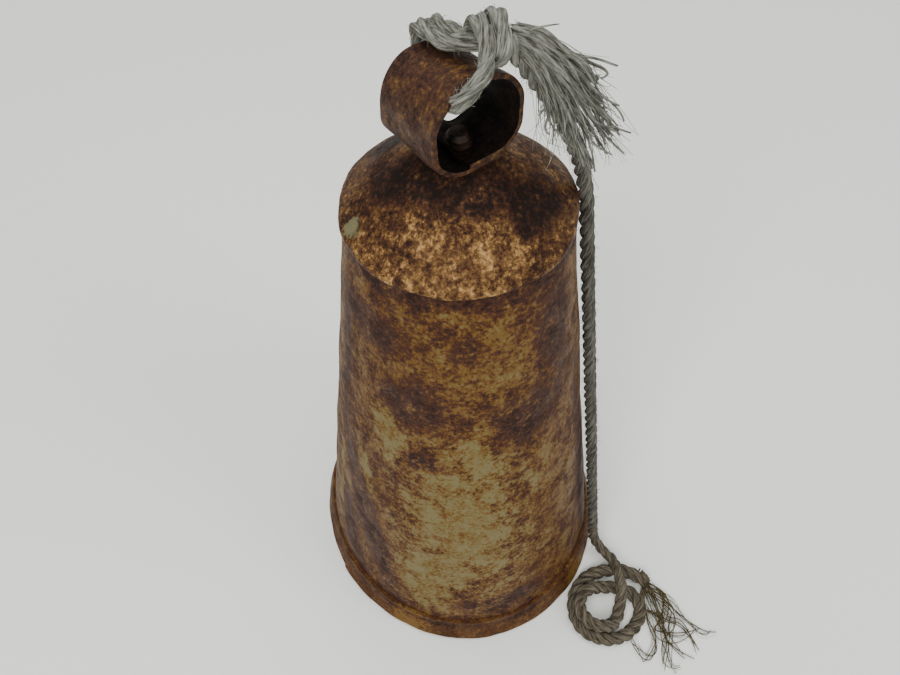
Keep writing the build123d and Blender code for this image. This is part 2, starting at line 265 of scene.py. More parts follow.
class Iron(Shader):
    """The bell's skin: brass-coated sheet iron, gone brown, purple, olive and sage in patches."""

    def __init__(self, name):
        super().__init__(name, metallic=0.1, specular=0.12)
        x, y, z = self.split(self.place)
        self.height = self.times(z, 1 / MM)
        ahead = self.add(self.times(x, math.cos(FRONT)), self.times(y, math.sin(FRONT)))
        aside = self.minus(self.times(y, math.cos(FRONT)), self.times(x, math.sin(FRONT)))
        self.angle = self.math("ARCTAN2", aside, ahead)
        self.drift = self.noise(22, detail=5, roughness=0.65)
        self.grain = self.noise(1.6, detail=3, roughness=0.7)
        self.fleck = self.noise(2.6, detail=5, roughness=0.78, distortion=0.15)
        self.mottle = self.noise(11, detail=5, roughness=0.65, distortion=0.4)

    def patch(self, degrees, height, wide, tall, tilt=0.0):
        """1 inside a ragged oval patch at degrees round from the front, and 0 outside it. Sizes in mm,
        tilt in radians."""
        across = self.times(self.minus(self.angle, math.radians(degrees)), BODY_RADIUS)
        up = self.minus(self.height, height)
        turned = self.add(self.times(across, math.cos(tilt)), self.times(up, math.sin(tilt)))
        risen = self.minus(self.times(up, math.cos(tilt)), self.times(across, math.sin(tilt)))
        over = self.math("POWER", self.math("DIVIDE", turned, wide), 2.0)
        far = self.math("SQRT", self.add(over, self.math("POWER", self.math("DIVIDE", risen, tall), 2.0)))
        torn = self.add(far, self.swung(self.mottle, 1.445))
        ragged = self.add(self.swung(self.drift, 2.04), self.swung(self.fleck, 2.21))
        return self.step(self.add(torn, ragged), 1.5, 0.5)

    def any_of(self, patches):
        """The strongest of several patches, each given as patch()'s values."""
        found = 0.0
        for values in patches:
            found = self.math("MAXIMUM", found, self.patch(*values))
        return found

    def coated(self, bias, coats):
        """A skin in coats that show through one another in fine broken flecks. bias adds rust to a middling
        0.5."""
        rust = self.add(bias, 0.5)
        for field, share in ((self.fleck, 1.6), (self.mottle, 1.05), (self.grain, 1.0)):
            rust = self.add(rust, self.swung(field, share))
        colour = coats[0][1]
        for start, coat in coats[1:]:
            colour = self.blend(self.step(rust, start - COAT_EDGE[0], start + COAT_EDGE[1]), colour, coat)
        return colour

    def sum_of(self, parts):
        """The sum of several fields, each given with its weight."""
        total = 0.0
        for field, weight in parts:
            total = self.add(total, self.times(field, weight))
        return total

    def blots(self, places):
        """The strongest of several ragged round blots, each given as x, y, z and radius in mm."""
        found = 0.0
        for x, y, z, radius in places:
            made = self.node("ShaderNodeVectorMath", operation="DISTANCE")
            self.give(made.inputs[0], self.place)
            made.inputs[1].default_value = mm(x, y, z)
            far = self.math("DIVIDE", made.outputs["Value"], radius * MM)
            ragged = self.add(self.swung(self.mottle, 1.98), self.swung(self.fleck, 1.62))
            found = self.math("MAXIMUM", found, self.step(self.add(far, ragged), 1.3, 0.75))
        return found

    def between(self, low, high, soft, ragged=0.0):
        """1 between two heights in mm, with soft and ragged edges."""
        height = self.add(self.height, self.swung(self.mottle, ragged))
        above = self.step(height, low - soft, low + soft)
        return self.times(above, self.step(height, high + soft, high - soft))

    def weathered(self, colour, roughness=0.62):
        """Closes the material: pits, hammer marks and a duller skin where it is rusty."""
        rust = self.step(self.mottle, 0.35, 0.65)
        self.bump([(self.grain, 0.10), (self.fleck, 0.22), (self.mottle, 0.35)])
        dull = self.add(self.times(rust, 0.2), roughness - 0.12)
        return self.done(colour, self.add(dull, self.times(self.grain, 0.08)))


# Patches of the body's skin: degrees from the front, height, half width, half height, and tilt.
BODY_DARK = [
    (-22, 229, 19, 14),
    (33, 216, 24, 18),
    (-47, 266, 28, 9, -0.12),
    (3, 269, 7, 8),
    (50, 262, 14, 26),
    (-66, 222, 5, 50),
    (-42, 92, 9, 76, 0.315),
    (-56, 60, 8, 34, 0.2),
    (-15, 188, 14, 6),
    (16, 40, 24, 9),
    (70, 110, 9, 80),
    (110, 200, 20, 60),
    (150, 90, 26, 40),
    (-120, 120, 24, 60),
    (-150, 230, 30, 26),
]
BODY_SAGE = [
    (2, 130, 27, 66),
    (-14, 66, 17, 34),
    (8, 196, 9, 20),
    (-34, 198, 9, 19, 0.3),
    (-46, 150, 5, 18, 0.3),
    (-68, 100, 3, 40),
    (95, 120, 12, 50),
    (-100, 60, 20, 30),
    (175, 160, 26, 36),
]
BODY_OLIVE = [
    (12, 252, 26, 24),
    (40, 150, 20, 60),
    (-24, 262, 10, 8),
    (-110, 220, 30, 40),
    (130, 250, 26, 24),
]


def body_material():
    iron = Iron("body_iron")
    streaks = iron.noise(5, detail=4, vector=iron.stretched(iron.place, (1, 1, 0.28)))
    foot = iron.between(-10, 27, 3, ragged=10)
    under_cap = iron.between(290, 310, 2.5, ragged=8)
    bias = iron.sum_of([(iron.any_of(BODY_DARK), 0.24), (iron.any_of(BODY_SAGE), -0.33),
                        (iron.any_of(BODY_OLIVE), -0.06), (foot, 0.10), (under_cap, 0.2), (streaks, 0.5)])
    return iron.weathered(iron.coated(iron.minus(bias, 0.21), BODY_COATS))


def band_material():
    iron = Iron("band_iron")
    ochre = iron.blots([(-80, -51, 11, 12), (30, -92, 9, 9), (-40, 80, 8, 12)])
    groove = iron.between(13.5, 18.5, 1.5, ragged=3)
    hem = iron.between(-2, 1.0, 0.5, ragged=0.6)
    bias = iron.sum_of([(ochre, -0.3), (groove, 0.22), (hem, -0.35)])
    return iron.weathered(iron.coated(bias, BAND_COATS))


def cap_material():
    iron = Iron("cap_iron")
    # The lighter lower front of the cap is a brighter coat with painted sheen laid over it.
    front = iron.blots([(-26, -33, 306, 21), (-6, -40, 306, 10)])
    ochre = iron.blots([(10, -14, 325, 8), (-26, 24, 318, 10), (-2, 30, 320, 10)])
    # Dark blots round the strap's foot and under its loop: darker coat, partly painted shade beneath the
    # ring.
    dark_and_shade = iron.blots([(-20, 3, 322, 10), (-14, -6, 324, 9), (-27, 10, 318, 8), (-6, -18, 323, 9),
                       (2, -20, 322, 7), (12, -30, 316, 10), (22, -27, 314, 9), (20, 22, 318, 12),
                       (-10, 34, 314, 9)])
    stains = iron.blots([(-8, -38, 310, 3.2), (-17, -20, 319, 2.6), (4, -36, 312, 3.2)])
    bias = iron.sum_of([(front, -0.16), (ochre, 0.08), (dark_and_shade, 0.3), (stains, 0.2)])
    colour = iron.coated(iron.add(bias, 0.05), CAP_COATS)
    green = iron.times(iron.blots([(-43, 11, 304, 4.0)]), 0.8)
    return iron.weathered(iron.blend(green, colour, tone(112, 110, 80)), roughness=0.56)


def strap_material():
    iron = Iron("strap_iron")
    gold = iron.step(iron.noise(7, detail=5, roughness=0.7, distortion=0.8), 0.54, 0.66)
    # The strap's lower front edge is lightened: painted highlight.
    edge = iron.blots([(-8, -15, 330, 10), (10, -15, 331, 8)])
    bias = iron.sum_of([(gold, -0.12), (edge, -0.08)])
    return iron.weathered(iron.coated(iron.add(bias, 0.1), STRAP_COATS), roughness=0.56)


def ring_inside_shade_material():
    """The strap ring's inner face, painted near black: painted shade inside the loop."""
    iron = Iron("ring_inside_shade")
    return iron.weathered(iron.coated(0.1, RING_SHADE_COATS), roughness=0.7)


def bare_material():
    """The bell's inside: bare, rusted iron."""
    iron = Iron("inner_iron")
    return iron.weathered(iron.coated(0.0, BARE_COATS), roughness=0.7)


def forged_material():
    iron = Shader("forged_iron", metallic=0.35, specular=0.35)
    scale = iron.noise(6, detail=5)
    grain = iron.noise(1.2, detail=3)
    colour = iron.blend(iron.step(scale, 0.42, 0.6), tone(34, 28, 25), tone(64, 44, 32))
    colour = iron.blend(iron.step(grain, 0.55, 0.7), colour, tone(78, 64, 54))
    iron.bump([(scale, 0.25), (grain, 0.08)])
    return iron.done(colour, iron.step(scale, 0.3, 0.7, 0.42, 0.68))


def wood_material():
    wood = Shader("knob_wood", specular=0.35)
    rings = wood.noise(5, detail=4, vector=wood.stretched(wood.place, (1, 1, 0.07)))
    pores = wood.noise(1.1, detail=2, vector=wood.stretched(wood.place, (1, 1, 0.06)))
    wear = wood.noise(16, detail=4)
    colour = wood.blend(wood.step(rings, 0.36, 0.66), tone(122, 82, 50), tone(166, 120, 76))
    colour = wood.blend(wood.step(pores, 0.58, 0.66), colour, tone(74, 46, 28))
    colour = wood.blend(wood.times(wood.step(wear, 0.5, 0.65), 0.5), colour, tone(80, 60, 46))
    wood.bump([(pores, -0.12), (rings, 0.05)])
    return wood.done(colour, wood.step(wear, 0.4, 0.7, 0.5, 0.72))


GREY_THREADS = (tone(58, 57, 50), tone(150, 149, 139))      # the dull and the bright threads of a rope
# The fall's darker threads are painted shade, where the rope hangs in the bell's shadow.
FALL_SHADE_THREADS = (tone(48, 47, 41), tone(113, 110, 102))
COIL_THREADS = (tone(46, 40, 33), tone(117, 108, 92))
TAN_THREADS = (tone(46, 38, 26), tone(104, 92, 62))
FALL_SHADE_HEIGHTS = (0.345, 0.305)           # where the rope darkens into the painted shade of its fall, in metres
COIL_HEIGHTS = (0.050, 0.012)


def rope_material(name, top, fall=None, coil=None):
    """Weathered plant fibre: dull and bright threads along each yarn, and dust in patches. The rope's top
    and coil have their own threads, and its fall is darkened with painted shade."""
    rope = Shader(name, specular=0.15)
    height = rope.split(rope.place)[2]
    along = rope.node("ShaderNodeAttribute", attribute_name="fibre").outputs["Vector"]
    thread = rope.noise(0.8, detail=3, roughness=0.65, vector=along)
    dust = rope.noise(7, detail=4)

    def threads(dull, bright):
        return rope.blend(rope.step(thread, 0.3, 0.7), dull, bright)

    colour = threads(*top)
    if fall:
        # Painted shade: the rope darkens below the knot, down its fall.
        colour = rope.blend(rope.step(height, *FALL_SHADE_HEIGHTS), colour, threads(*fall))
        colour = rope.blend(rope.step(height, *COIL_HEIGHTS), colour, threads(*coil))
    colour = rope.blend(rope.times(rope.step(dust, 0.5, 0.7), 0.3), colour, top[0])
    rope.bump([(thread, 0.3)])
    return rope.done(colour, 0.92)


# ---------------------------------------------------------------- mesh helpers
def link(name, mesh, material, sharp):
    """A new object that rides on the bell, smooth except where it bends by more than sharp degrees."""
    mesh.shade_smooth()
    mesh.set_sharp_from_angle(angle=math.radians(sharp))
    mesh.materials.append(material)
    piece = bpy.data.objects.new(name, mesh)
    bpy.context.scene.collection.objects.link(piece)
    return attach(piece, "bell")


def skin(name, rows, material, sharp, wrap_row=True, lining=None, inner_rows=()):
    """A closed skin of equally long rows of points. The last row joins the first. Open rows get end caps.
    The faces that follow inner_rows have the lining's material."""
    shape = bmesh.new()
    made = [[shape.verts.new(point) for point in row] for row in rows]
    span = len(rows[0])
    for index, (row, after) in enumerate(zip(made, made[1:] + made[:1])):
        for i in range(span if wrap_row else span - 1):
            face = shape.faces.new((row[i], row[(i + 1) % span], after[(i + 1) % span], after[i]))
            face.material_index = int(index in inner_rows)
    if not wrap_row:
        for end in (0, -1):
            cap = shape.faces.new([row[end] for row in made])
            cap.material_index = int(bool(inner_rows))
            bmesh.ops.triangulate(shape, faces=[cap])
    bmesh.ops.recalc_face_normals(shape, faces=shape.faces)
    mesh = bpy.data.meshes.new(name)
    shape.to_mesh(mesh)
    shape.free()
    piece = link(name, mesh, material, sharp)
    if lining:
        mesh.materials.append(lining)
    return piece


def bumpy(place, size, seed=0):
    """Smooth noise from about -1 to 1 whose swells are about size mm across."""
    return 2 * noise.noise(Vector(place) / (size * MM) + Vector((seed * 7.3, seed * 3.1, seed * 5.7)))


def beaten(place):
    """How far hand work has pushed the sheet out at a place, in metres."""
    return (0.45 * bumpy(place, 48) + 0.18 * bumpy(place, 17, 1) + 0.05 * bumpy(place, 6, 2)) * MM


def solid_of(node):
    """A CAD piece's surface, for rays to hit."""
    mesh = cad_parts[node].data
    return BVHTree.FromPolygons([v.co for v in mesh.vertices], [tuple(p.vertices) for p in mesh.polygons])


def hit(solid, start, way):
    """Where a ray first meets a solid."""
    place = solid.ray_cast(Vector(start), Vector(way))[0]
    if place is None:
        raise ValueError(f"no surface from {tuple(start)} along {tuple(way)}")
    return place


# ---------------------------------------------------------------- sheet-iron shell
SEAM_AZIMUTH = math.radians(54)
SEAM_COLUMNS = (-5.6, -4.65, -4.3, 0.0, 4.3, 4.65, 5.6)     # mm to each side of the lock seam's middle
SEAM_CLEAR = math.radians(9)
COLUMNS = 250                           # round the body, besides the seam's
BODY_ROWS = (150, 60)                   # up its outside, and down its inside
BEYOND = 0.2                            # metres from the axis, outside the whole bell
HAIR = 0.05                             # mm by which a ray keeps off a wall's edge


def around(height):
    """Azimuths round the body at a height, closer together at the lock seam."""
    narrow = mix(90 * MM, 46 * MM, height / 0.3)
    seam = [SEAM_AZIMUTH + side * MM / narrow for side in SEAM_COLUMNS]
    rest = TURN - 2 * SEAM_CLEAR
    return seam + [SEAM_AZIMUTH + SEAM_CLEAR + rest * i / (COLUMNS - 1) for i in range(COLUMNS)]


def wall_ring(solid, height, azimuths, outside, push, probe=None):
    """A ring on a solid's wall, where push(place) moves each point outwards. Rays find the wall at the
    height probe, if that is given."""
    ring = []
    probe = height if probe is None else probe
    for azimuth in azimuths:
        out = Vector((math.cos(azimuth), math.sin(azimuth), 0))
        start = out * (BEYOND if outside else 0) + Vector((0, 0, probe))
        place = hit(solid, start, -out if outside else out)
        place.z = height
        ring.append(place + out * push(place))
    return ring


def unpushed(place):
    """The push that leaves a wall where it is."""
    return 0.0


def make_body(material, lining):
    solid = solid_of("bell_body")
    low, high = (corner.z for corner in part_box("bell_body"))
    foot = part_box("mouth_band")[1].z

    def push(place):
        free = ease((place.z - foot - 1 * MM) / (12 * MM)) * ease((high - 3 * MM - place.z) / (10 * MM))
        return beaten(place) * free

    def ring(height, outside):
        probe = min(max(height, low + HAIR * MM), high - HAIR * MM)
        return wall_ring(solid, height, around(height), outside, push, probe)

    up, down = BODY_ROWS
    rows = [ring(mix(low, high, i / up), True) for i in range(up + 1)]
    rows += [ring(mix(high, low, i / down), False) for i in range(down + 1)]
    body = skin("body_shell", rows, material, sharp=50, lining=lining,
                inner_rows=range(up + 1, len(rows) - 1))
    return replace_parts(body, "bell_body")


BAND_LAP = math.radians(178)            # where the band's outer end lies on its inner end
BAND_HEIGHTS = (0.0, 0.4, 1.2, 2.6, 4.5, 6.5, 9.0, 12.0, 15.5, 18.8, 19.7, 20.0)      # rows up the outside
BAND_INNER = (20.0, 12.0, 5.0, 0.0)     # rows down the inside
BAND_COLUMNS = 300
BAND_GROOVE = 16                        # height of the hollow under the band's top edge


def make_band(material):
    solid = solid_of("mouth_band")
    azimuths = [BAND_LAP + TURN * i / BAND_COLUMNS for i in range(BAND_COLUMNS)]

    def push(place):
        past = (math.atan2(place.y, place.x) - BAND_LAP) % TURN
        lap = 0.8 * MM * (1 - ease(past / math.radians(26)))
        hammered = 0.35 * bumpy(place, 20, 3) + 0.12 * bumpy(place, 7, 4)
        groove = -0.5 * math.exp(-((place.z / MM - BAND_GROOVE) / 2.2) ** 2)
        rolled = -0.35 * ease((1.2 - place.z / MM) / 1.2)
        return lap + (hammered + groove + rolled) * MM

    def hem(place):
        return 0.7 * MM * max(0.0, bumpy((place.x, place.y, 0), 24, 5)) * (1 - ease(place.z / (5 * MM)))

    def ring(height, outside):
        probe = min(max(height, HAIR), BAND_HEIGHTS[-1] - HAIR) * MM
        found = wall_ring(solid, height * MM, azimuths, outside, push if outside else unpushed, probe)
        return [place + Vector((0, 0, hem(place))) for place in found]

    rows = [ring(height, True) for height in BAND_HEIGHTS] + [ring(height, False) for height in BAND_INNER]
    band = skin("mouth_hoop", rows, material, sharp=55)
    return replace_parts(band, "mouth_band")


SHANK_HOLE = 3.08                       # radius, as in the frame
CAP_COLUMNS = 260
CAP_RINGS = 46                          # from the shank's hole to the rim
CAP_LEDGE = 45                          # radius out to which the cap's underside is free of the body


def make_cap(material, lining):
    solid = solid_of("crown_cap")
    low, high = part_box("crown_cap")
    rim = high.x / MM
    skirt = low.z / MM
    azimuths = [TURN * i / CAP_COLUMNS for i in range(CAP_COLUMNS)]
    domes = [SHANK_HOLE + HAIR + (rim - 0.9 - SHANK_HOLE) * (i / CAP_RINGS) for i in range(CAP_RINGS + 1)]

    def dome_ring(radius, above):
        ring = []
        for azimuth in azimuths:
            flat = Vector((math.cos(azimuth), math.sin(azimuth), 0)) * radius * MM
            start = flat + Vector((0, 0, high.z + 0.1 if above else low.z - 0.1))
            place = hit(solid, start, (0, 0, -1 if above else 1))
            free = ease((radius - 16) / 10)
            place.z += 1.2 * beaten(place) * free
            ring.append(place)
        return ring

    def rim_push(place):
        return (0.35 * bumpy(place, 16, 6) + 0.12 * bumpy(place, 5, 7)) * MM

    def edge_push(place):
        return rim_push(place) - 0.3 * MM

    def wavy(ring):
        return [place + Vector((0, 0, 0.25 * MM * bumpy((place.x, place.y, 0), 19, 8))) for place in ring]

    rows = [dome_ring(radius, True) for radius in domes]
    for height in (1.7, 1.0, 0.3):
        rows.append(wavy(wall_ring(solid, (skirt + height) * MM, azimuths, True, rim_push)))
    rows.append(wavy(wall_ring(solid, skirt * MM, azimuths, True, edge_push, (skirt + HAIR) * MM)))
    outer_rows = len(rows)
    for height in (HAIR, 1.0):
        rows.append(wall_ring(solid, (skirt + height) * MM, azimuths, False, unpushed))
    ledge_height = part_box("bell_body")[1].z
    rows.append(wall_ring(solid, ledge_height, azimuths, False, unpushed, ledge_height - 0.1 * MM))
    rows += [dome_ring(radius, False) for radius in reversed(domes) if radius < CAP_LEDGE]
    cap = skin("cap_shell", rows, material, sharp=50, lining=lining,
               inner_rows=range(outer_rows, len(rows) - 1))
    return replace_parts(cap, "crown_cap")


# ---------------------------------------------------------------- strap ring
STRAP_THICK = 1.9
STRAP_OUT = 19.3                        # radius of the ring's crown, outside
STRAP_MIDDLE_X = -2.3
STRAP_BENDS = [                         # y, and how far the crown and the foot rise there
    (-15.1, 2.2, 2.4),
    (-6.5, 0.9, 0.0),
    (10.2, -1.3, 0.0),
    (18.4, -2.2, -1.2),
]
STRAP_FLAT = 5.5                        # half the foot's flat length
STRAP_ENDS = (9.0, -6.0)                # where the lower and the upper end stop, in x
STRAP_COLUMNS = 26                      # from its front edge to its back edge
LAP = STRAP_THICK + 0.1
SHORT_BACK = 6.5                        # how far the strap's back edge falls short at the foot's right end


def straight(start, end, count):
    """Even points from start towards end, without the end."""
    return [(mix(start[0], end[0], i / count), mix(start[1], end[1], i / count)) for i in range(count)]


def arc(centre, radius, start, end, count):
    """Even points on an arc between two angles in degrees, without its end."""
    angles = [math.radians(mix(start, end, i / count)) for i in range(count)]
    return [(centre[0] + radius * math.cos(a), centre[1] + radius * math.sin(a)) for a in angles]


def strap_rises(y):
    """How far the strap's crown and foot rise at y."""
    for (y0, crown0, foot0), (y1, crown1, foot1) in zip(STRAP_BENDS, STRAP_BENDS[1:]):
        if y <= y1:
            share = (y - y0) / (y1 - y0)
            return mix(crown0, crown1, share), mix(foot0, foot1, share)
    return STRAP_BENDS[-1][1:]


def strap_row(y, out, seat):
    """The bent strap's line at y, a distance out from its middle, as x and z in mm."""
    crown_rise, foot_rise = strap_rises(y)
    middle = STRAP_OUT - STRAP_THICK / 2
    low = seat + STRAP_THICK / 2 + foot_rise
    crown = seat + STRAP_OUT + crown_rise
    left, right = STRAP_MIDDLE_X - middle, STRAP_MIDDLE_X + middle
    corner_left, corner_right = -STRAP_FLAT - left, right - STRAP_FLAT
    left_centre = (-STRAP_FLAT, low + corner_left)
    right_centre = (STRAP_FLAT, low + LAP + corner_right)
    row = straight((STRAP_ENDS[0], low - out), (-STRAP_FLAT, low - out), 8)
    row += arc(left_centre, corner_left + out, -90, -180, 16)
    row += straight((left - out, left_centre[1]), (left - out, crown), 3)
    row += arc((STRAP_MIDDLE_X, crown), middle + out, 180, 0, 56)
    row += straight((right + out, crown), (right + out, right_centre[1]), 3)
    row += arc(right_centre, corner_right + out, 0, -90, 14)
    row += straight((STRAP_FLAT, low + LAP - out), (STRAP_ENDS[1], low + LAP - out), 7)
    return row + [(STRAP_ENDS[1], low + LAP - out)]


def drilled(piece, height):
    """Cuts the hanger's shank hole through a piece at that height in mm."""
    shape = bmesh.new()
    bmesh.ops.create_cone(shape, segments=40, radius1=SHANK_HOLE * MM, radius2=SHANK_HOLE * MM, depth=0.012,
                          cap_ends=True, matrix=Matrix.Translation(mm(0, 0, height)))
    drill = bpy.data.meshes.new("drill")
    shape.to_mesh(drill)
    shape.free()
    tool = bpy.data.objects.new("drill", drill)
    bpy.context.scene.collection.objects.link(tool)
    cut = piece.modifiers.new("hole", "BOOLEAN")
    cut.object = tool
    cut.solver = "EXACT"
    bpy.context.view_layer.update()
    cut_mesh = bpy.data.meshes.new_from_object(piece.evaluated_get(bpy.context.evaluated_depsgraph_get()))
    piece.modifiers.clear()
    piece.data = cut_mesh
    bpy.data.objects.remove(tool)


def make_strap(material, lining):
    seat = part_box("crown_cap")[1].z / MM
    front, back = STRAP_BENDS[0][0], STRAP_BENDS[-1][0]
    half = STRAP_THICK / 2
    across = [mix(front, back, (1 - math.cos(math.pi * i / STRAP_COLUMNS)) / 2)
              for i in range(1, STRAP_COLUMNS)]
    round_edge = [(0.1, 0.8), (0.0, 0.3), (0.0, -0.3), (0.1, -0.8)]      # in from the edge, share of half
    stations = [(y, half) for y in across] + [(back - inset, half * share) for inset, share in round_edge]
    stations += [(y, -half) for y in reversed(across)]
    stations += [(front + inset, half * share) for inset, share in reversed(round_edge)]
    rows = []
    for y, out in stations:
        row = []
        for (x, z), (x0, z0) in zip(strap_row(y, out, seat), strap_row(y, 0, seat)):
            middle = mm(x0, y, z0)
            normal = Vector((x - x0, 0, z - z0)).normalized() * (1 if out > 0 else -1)
            free = ease((z0 - seat - 5) / 8)            # the foot bears on the cap and stays as it is
            edge = abs(y - (front + back) / 2) / ((back - front) / 2)
            dent = (0.45 * bumpy(middle, 17, 9) + 0.12 * bumpy(middle, 6, 10)) * MM * free
            nick = 0.55 * bumpy((middle.x, 0, middle.z), 11, 11) * MM * edge ** 6 * free
            short = ease((x0 - 0.5) / 4) * ease((seat + 14 - z0) / 9) * ease((y - 4) / (back - 4))
            row.append(mm(x, y - SHORT_BACK * short, z) + normal * dent + Vector((0, nick, 0)))
        rows.append(row)
    first = len(across) + len(round_edge)
    strap = skin("strap_ring", rows, material, sharp=50, wrap_row=False, lining=lining,
                 inner_rows=range(first, first + len(across) - 1))
    drilled(strap, seat + 2)
    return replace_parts(strap, "handle_strap")


# ---------------------------------------------------------------- rope
ROPE = 6.4                              # mm across
LAY = 20.0                              # mm along the rope for one turn of its three strands
STRAND = 1.62                           # radius of a strand
STRAND_OUT = 1.62                       # how far a strand's middle lies from the rope's
STEP = 0.8                              # mm between the rings of a tube
FIBRE_PACE = 0.13                       # how much slower a fibre's colour changes along it than across it
SLACK_FROM = 400                        # mm from the knot, where the lay starts to loosen
SLACK_OVER = 60
FUZZ = 0.085                            # radius of a broken fibre


def spline_line(points, step=STEP):
    """Even points along the smooth line of a route given in mm."""
    curve = bpy.data.curves.new("route", "CURVE")
    curve.dimensions = "3D"
    curve.resolution_u = 20
    spline = curve.splines.new("NURBS")
    spline.points.add(len(points) - 1)
    for point, place in zip(spline.points, points):
        point.co = (*mm(*place), 1)
    spline.order_u = 3
    spline.use_endpoint_u = True
    holder = bpy.data.objects.new("route", curve)
    line = [vertex.co.copy() for vertex in bpy.data.meshes.new_from_object(holder).vertices]
    bpy.data.objects.remove(holder)
    even = [line[0]]
    owed = step * MM
    for start, end in zip(line, line[1:]):
        run = (end - start).length
        gone = 0.0
        while run - gone >= owed:
            gone += owed
            even.append(start.lerp(end, gone / run))
            owed = step * MM
        owed -= run - gone
    return even


def bowed(points, count):
    """Points on the Bezier curve of some points given in mm."""
    line = []
    for i in range(count + 1):
        left = [Vector(point) for point in points]
        while len(left) > 1:
            left = [a.lerp(b, i / count) for a, b in zip(left, left[1:])]
        line.append(left[0] * MM)
    return line


def frames(line):
    """Each point with two directions across the line, turned as little as possible from one to the next."""
    found = []
    side = (line[1] - line[0]).orthogonal()
    for i, place in enumerate(line):
        ahead = (line[min(i + 1, len(line) - 1)] - line[max(i - 1, 0)]).normalized()
        side = (side - ahead * side.dot(ahead)).normalized()
        found.append((place, side, ahead.cross(side)))
    return found


def fibre_shape():
    """An empty shape whose points also say where they lie along and round their fibre."""
    shape = bmesh.new()
    shape.verts.layers.float_vector.new("fibre")
    return shape


def add_tube(shape, line, radius, sides=4, taper=0.0, ridges=0.0, twist=0.0, swell_from=None):
    """A closed tube along a line, radius in mm. taper thins its far end, ridges are its yarns, and past
    swell_from mm it is thicker."""
    fibre = shape.verts.layers.float_vector["fibre"]
    offset = line[0] * 9
    length = 0.0
    rings = []
    for i, (place, side, up) in enumerate(frames(line)):
        thin = 1 - taper * (i / (len(line) - 1)) ** 2
        length += (place - line[i - 1]).length if i else 0.0
        if swell_from:
            thin *= 1 + 0.16 * ease((length / MM - swell_from) / SLACK_OVER)
        ring = []
        for j in range(sides):
            angle = TURN * j / sides
            out = side * math.cos(angle) + up * math.sin(angle)
            ridge = 1 + ridges * math.cos(5 * angle + twist * i)
            vertex = shape.verts.new(place + out * radius * thin * ridge * MM)
            vertex[fibre] = offset + Vector((math.cos(angle), math.sin(angle), 0)) * radius * MM
            vertex[fibre].z += length * FIBRE_PACE
            ring.append(vertex)
        rings.append(ring)
    for ring, after in zip(rings, rings[1:]):
        for j in range(sides):
            shape.faces.new((ring[j], ring[(j + 1) % sides], after[(j + 1) % sides], after[j]))
    shape.faces.new(list(reversed(rings[0])))
    shape.faces.new(rings[-1])


def lay_rope(shape, line, thick=ROPE, lay=LAY, slack_from=None):
    """Three twisted strands along a line of even points. Past slack_from mm they lie looser."""
    size = thick / ROPE
    ways = frames(line)
    for strand in range(3):
        middle = []
        for i, (place, side, up) in enumerate(ways):
            angle = TURN * (strand / 3 + i * STEP / lay)
            loose = 1 + 0.07 * bumpy(place, 9, strand)
            if slack_from:
                loose += 0.42 * ease((i * STEP - slack_from) / SLACK_OVER)
            out = side * math.cos(angle) + up * math.sin(angle)
            middle.append(place + out * STRAND_OUT * size * loose * MM)
        add_tube(shape, middle, STRAND * size * 1.06, sides=20, ridges=0.09, twist=0.42,
                 swell_from=slack_from)


def add_fuzz(shape, line, chance, per_mm, reach, thick=ROPE):
    """Broken fibres that stand out of a rope along a line of even points."""
    ways = frames(line)
    for _ in range(int(per_mm * STEP * len(line))):
        place, side, up = ways[chance.randrange(len(ways))]
        angle = chance.uniform(0, TURN)
        out = side * math.cos(angle) + up * math.sin(angle)
        ahead = side.cross(up) * chance.uniform(-1.6, 1.6)
        way = (out + ahead).normalized() * chance.uniform(0.35, 1) * reach
        root = place / MM + out * thick * 0.4
        if (root + way).z < 0.3:
            continue
        curl = Vector([chance.uniform(-1, 1) for _ in range(3)]) * 0.35 * reach
        add_tube(shape, bowed([root, root + way * 0.5 + curl, root + way], 4), FUZZ, sides=3, taper=0.5)


def finished(name, shape, material):
    """The piece that a shape makes. What lies on the ground is flat underneath."""
    for vertex in shape.verts:
        vertex.co.z = max(vertex.co.z, 0.0)
    bmesh.ops.recalc_face_normals(shape, faces=shape.faces)
    mesh = bpy.data.meshes.new(name)
    shape.to_mesh(mesh)
    shape.free()
    piece = link(name, mesh, material, sharp=80)
    return piece


FALL = [                                # as in the frame, with two more points on its long straight stretch
    (9.0, -12.6, 377.5),
    (25.0, -17.5, 353.0),
    (38.0, -20.5, 328.0),
    (47.2, -23.0, 303.0),
    (47.9, -30.6, 265.8),
    (52.0, -81.1, 26.2),
    (52.2, -83.6, 14.5),
    (54.0, -91.0, 6.0),
    (55.0, -100.0, 7.5),
    (53.0, -108.5, 9.8),
]
INNER_MIDDLE = Vector((26.2, -119.2))
OUTER_MIDDLE = Vector((32.6, -121.6))
COIL_START = 20                         # degrees from +X
COIL_TURNED = 750
COIL_PACE = 30                          # degrees from one point of the coil's route to the next
FALL_REACH = 24.0                       # from the coil's middle to where the fall comes down
INNER_REACH = 13.2                      # radius of the inner turn
OUTER_REACH = (23.6, 21.6)              # half axes of the outer turn
END_REACH = 8.0                         # how far the rope's end leaves the outer turn


